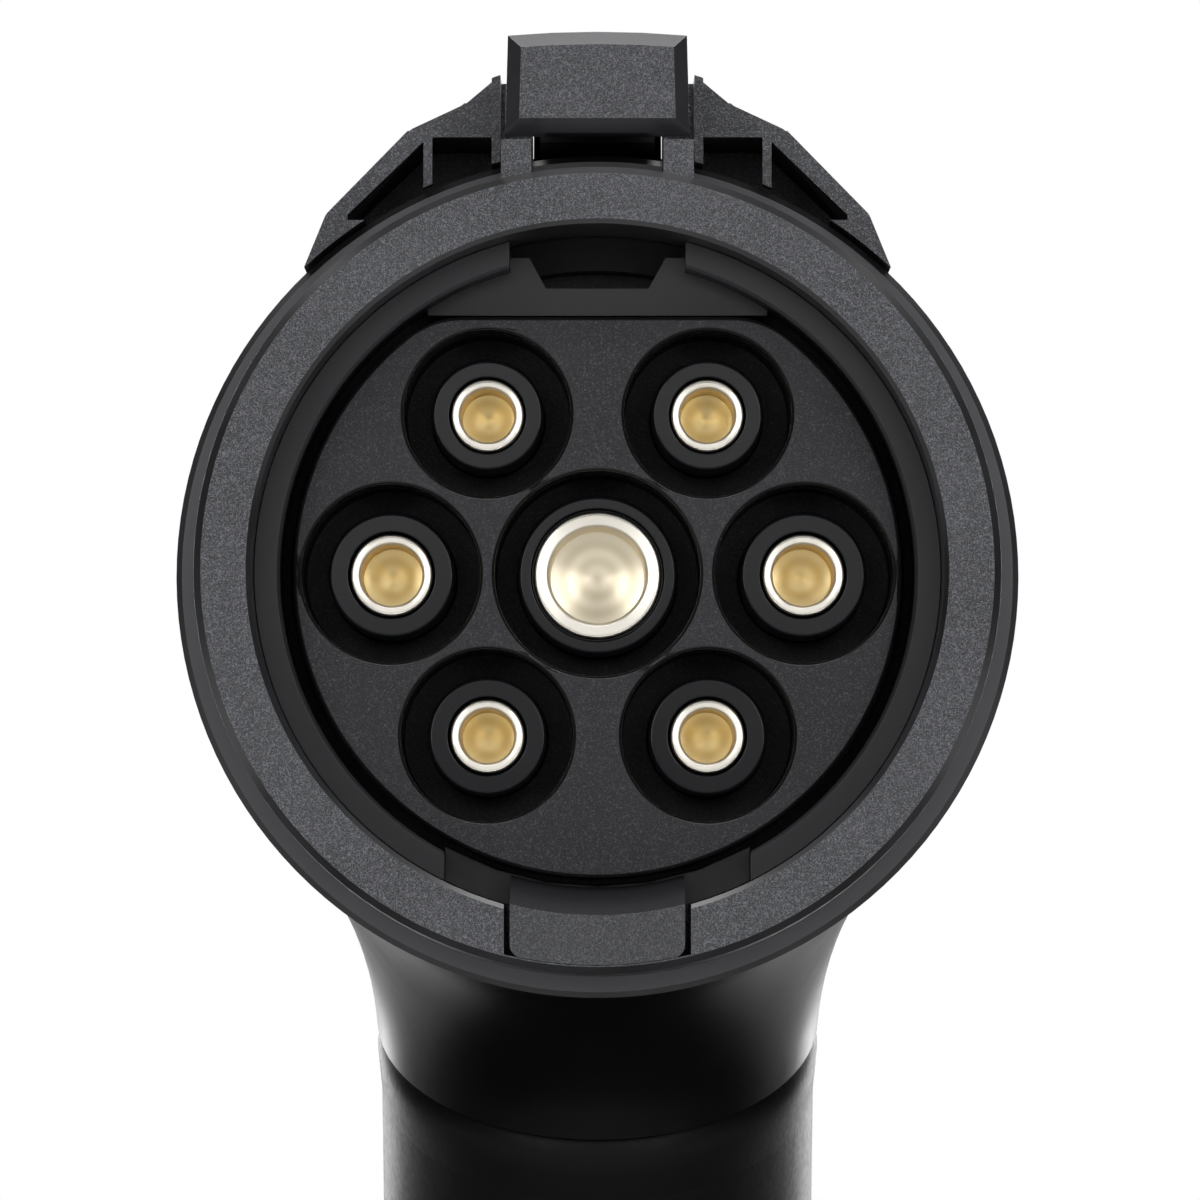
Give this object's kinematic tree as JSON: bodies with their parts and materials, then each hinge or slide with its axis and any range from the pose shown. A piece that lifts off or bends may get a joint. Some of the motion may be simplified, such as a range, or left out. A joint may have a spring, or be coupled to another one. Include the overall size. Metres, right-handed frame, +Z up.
{
  "type": "ev charging connector",
  "caption": "Hand-held vehicle connector with a round shroud, socket contacts in wells, a latch hook under a guard, a release button and a sloping handle.",
  "frame": {"origin": "centre of the earth contact's mouth, where its straight bore begins", "axes": "-Y points out of the mating face, +Z up towards the latch, +X to the right as seen from the face"},
  "size_m": [0.0662, 0.1236, 0.1806],
  "materials": {
    "shroud_plastic": "fine moulded grain",
    "core_plastic": "satin",
    "sleeve_plastic": "smooth satin",
    "tower_plastic": "smooth",
    "housing_plastic": "smooth satin",
    "grip_rubber": "soft touch",
    "seal_rubber": "smooth",
    "contact_brass": "silver plated rim over turned brass",
    "steel": "plain",
    "board": "resin board",
    "chip": "small parts"
  },
  "bodies": {
    "connector": {"front_shroud": "shroud_plastic", "key_block": "shroud_plastic", "guide_sleeve": "sleeve_plastic", "face_seal": "seal_rubber", "contact_core": "core_plastic", "earth_tower": "tower_plastic", "line_one_tower": "tower_plastic", "neutral_tower": "tower_plastic", "pilot_tower": "tower_plastic", "proximity_tower": "tower_plastic", "line_two_tower": "tower_plastic", "line_three_tower": "tower_plastic", "earth_contact": "contact_brass", "line_one_contact": "contact_brass", "neutral_contact": "contact_brass", "pilot_contact": "contact_brass", "proximity_contact": "contact_brass", "line_two_contact": "contact_brass", "line_three_contact": "contact_brass", "contact_plate": "sleeve_plastic", "plate_screws": "steel", "housing_gasket": "seal_rubber", "upper_shell": "housing_plastic", "lower_shell": "housing_plastic", "grip_sleeve": "grip_rubber", "elbow_screws": "steel", "tail_screws": "steel", "latch_guard": "shroud_plastic", "guard_screws": "steel", "latch_pin": "steel", "latch_spring": "steel", "latch_switch": "sleeve_plastic", "resistor_board": "board", "board_resistors": "chip", "cable_clamp": "sleeve_plastic", "clamp_screws": "steel", "cable_gland": "sleeve_plastic", "gland_seal": "seal_rubber", "gland_nut": "sleeve_plastic"},
    "button": {"release_button": "sleeve_plastic"},
    "lever": {"latch_lever": "shroud_plastic"},
    "plunger": {"switch_plunger": "sleeve_plastic"}
  },
  "joints": [
    {"name": "button_press", "type": "slide", "parent": "connector", "child": "button", "axis": [0, -0.6157, -0.788], "range_m": [0, 0.003], "stiffness_N_per_m": 600, "springref_m": -0.004},
    {"name": "latch_tilt", "type": "hinge", "parent": "connector", "child": "lever", "pos_m": [0, 0.02, 0.033], "axis": [-1, 0, 0], "range_deg": [0, 7.3], "deforming": ["latch_spring"]},
    {"name": "plunger_press", "type": "slide", "parent": "connector", "child": "plunger", "axis": [0, 0, -1], "range_m": [0, 0.00063]}
  ],
  "couplings": [
    {"joint": "latch_tilt", "follows": "button_press", "rad_per_m": 42},
    {"joint": "plunger_press", "follows": "button_press", "ratio": 0.205}
  ]
}
